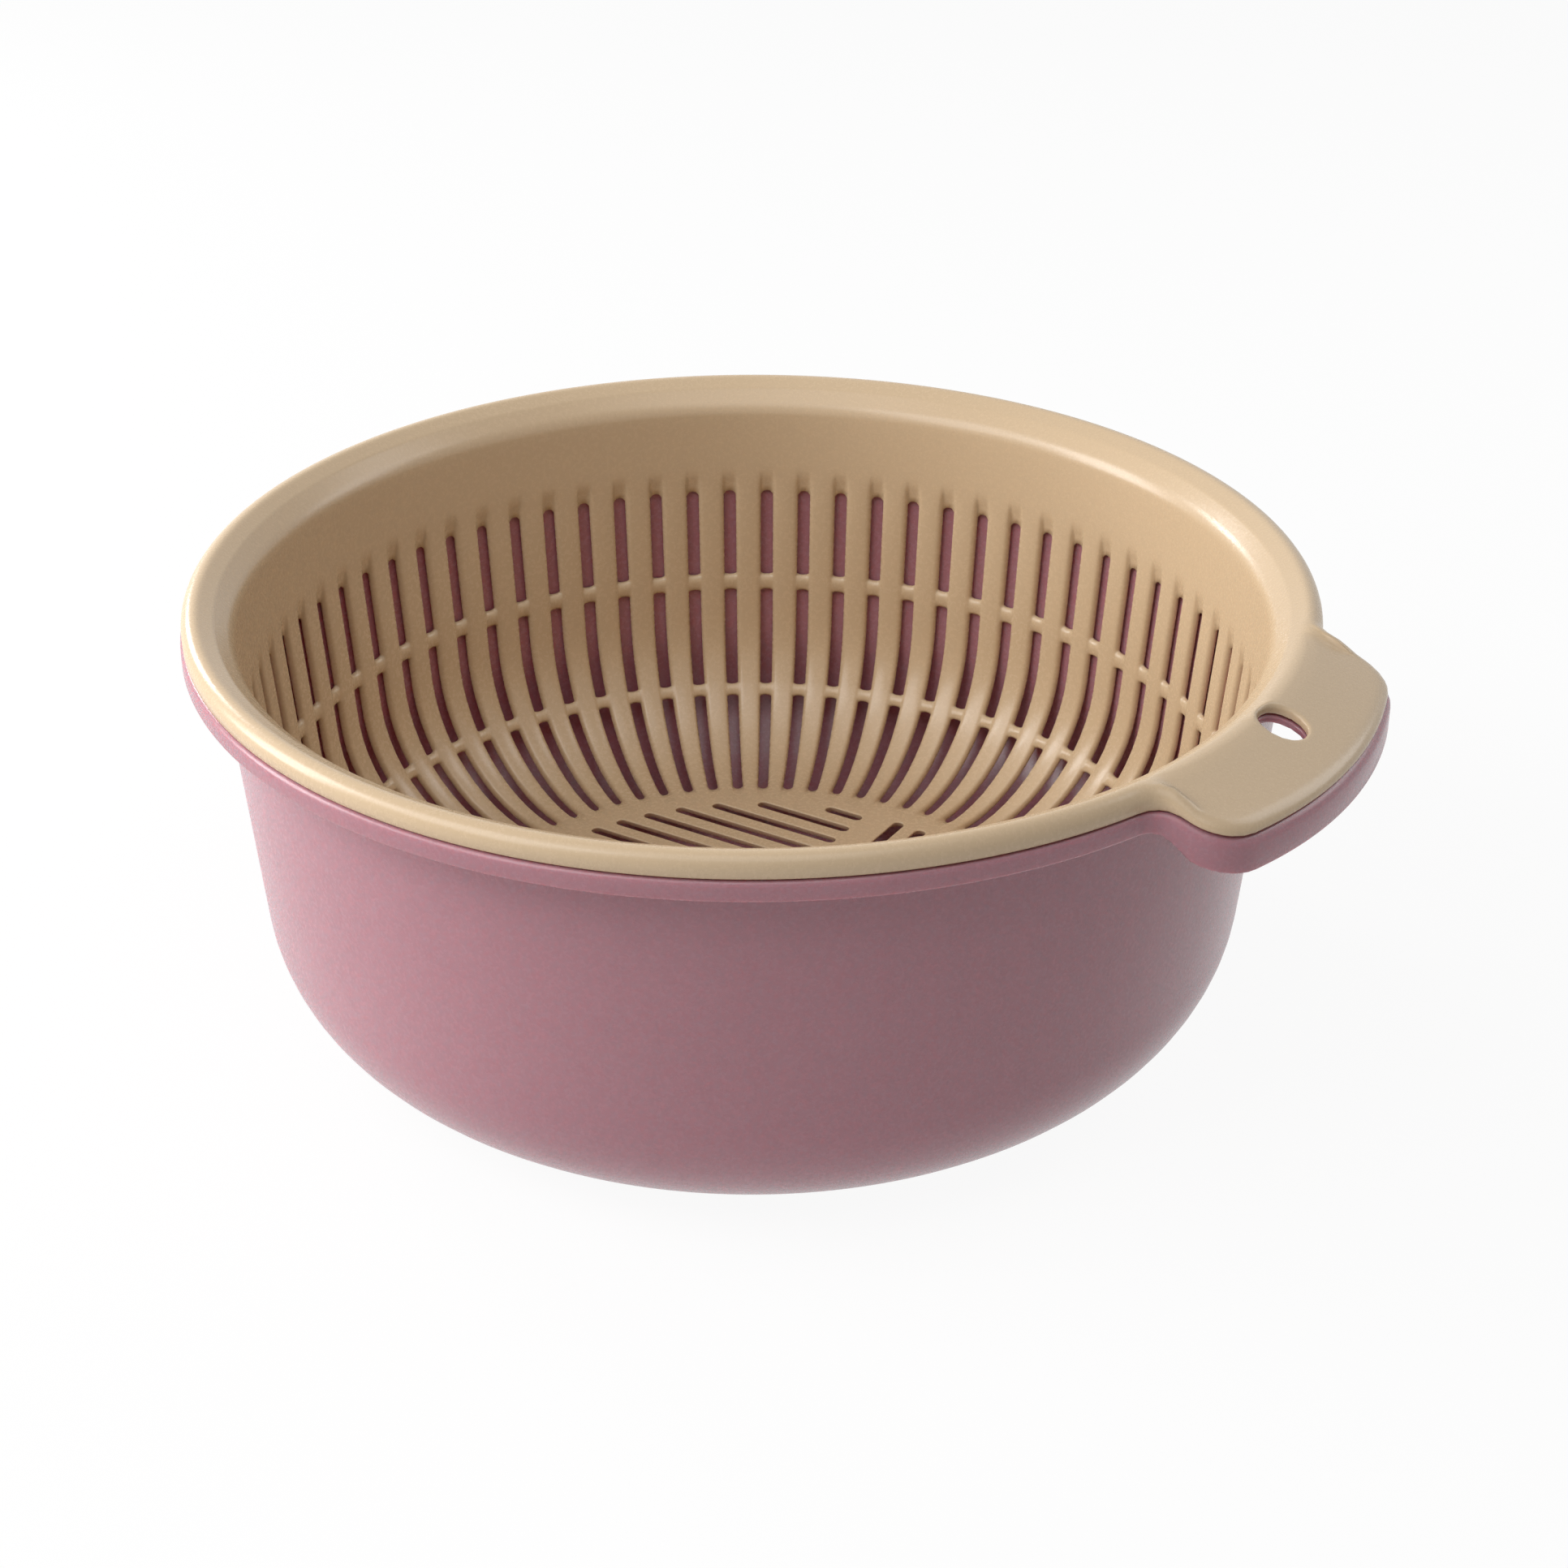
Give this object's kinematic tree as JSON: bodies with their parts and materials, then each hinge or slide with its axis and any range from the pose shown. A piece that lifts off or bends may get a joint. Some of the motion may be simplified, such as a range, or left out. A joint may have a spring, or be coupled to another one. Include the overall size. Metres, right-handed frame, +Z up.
{
  "type": "double layer drain basket",
  "caption": "Slotted drain basket with a rolled rim, nested in a smooth bowl, each with a grip tab and hang hole, for washing and draining food.",
  "frame": {"origin": "centre of the bowl's flat base, on the surface that it stands on", "axes": "+Z up along the bowl's axis, +X out along the grip tabs"},
  "size_m": [0.2678, 0.2506, 0.1041],
  "materials": {
    "bowl_plastic": "injection moulded polypropylene, dusty mauve, satin",
    "basket_plastic": "injection moulded polypropylene, warm beige, satin"
  },
  "bodies": {
    "bowl": {"bowl": "bowl_plastic"},
    "basket": {"drain_basket": "basket_plastic"}
  },
  "joints": [
    {"name": "basket_lift", "type": "slide", "parent": "bowl", "child": "basket", "axis": [0, 0, 1], "range_m": [0, 0.14]}
  ]
}
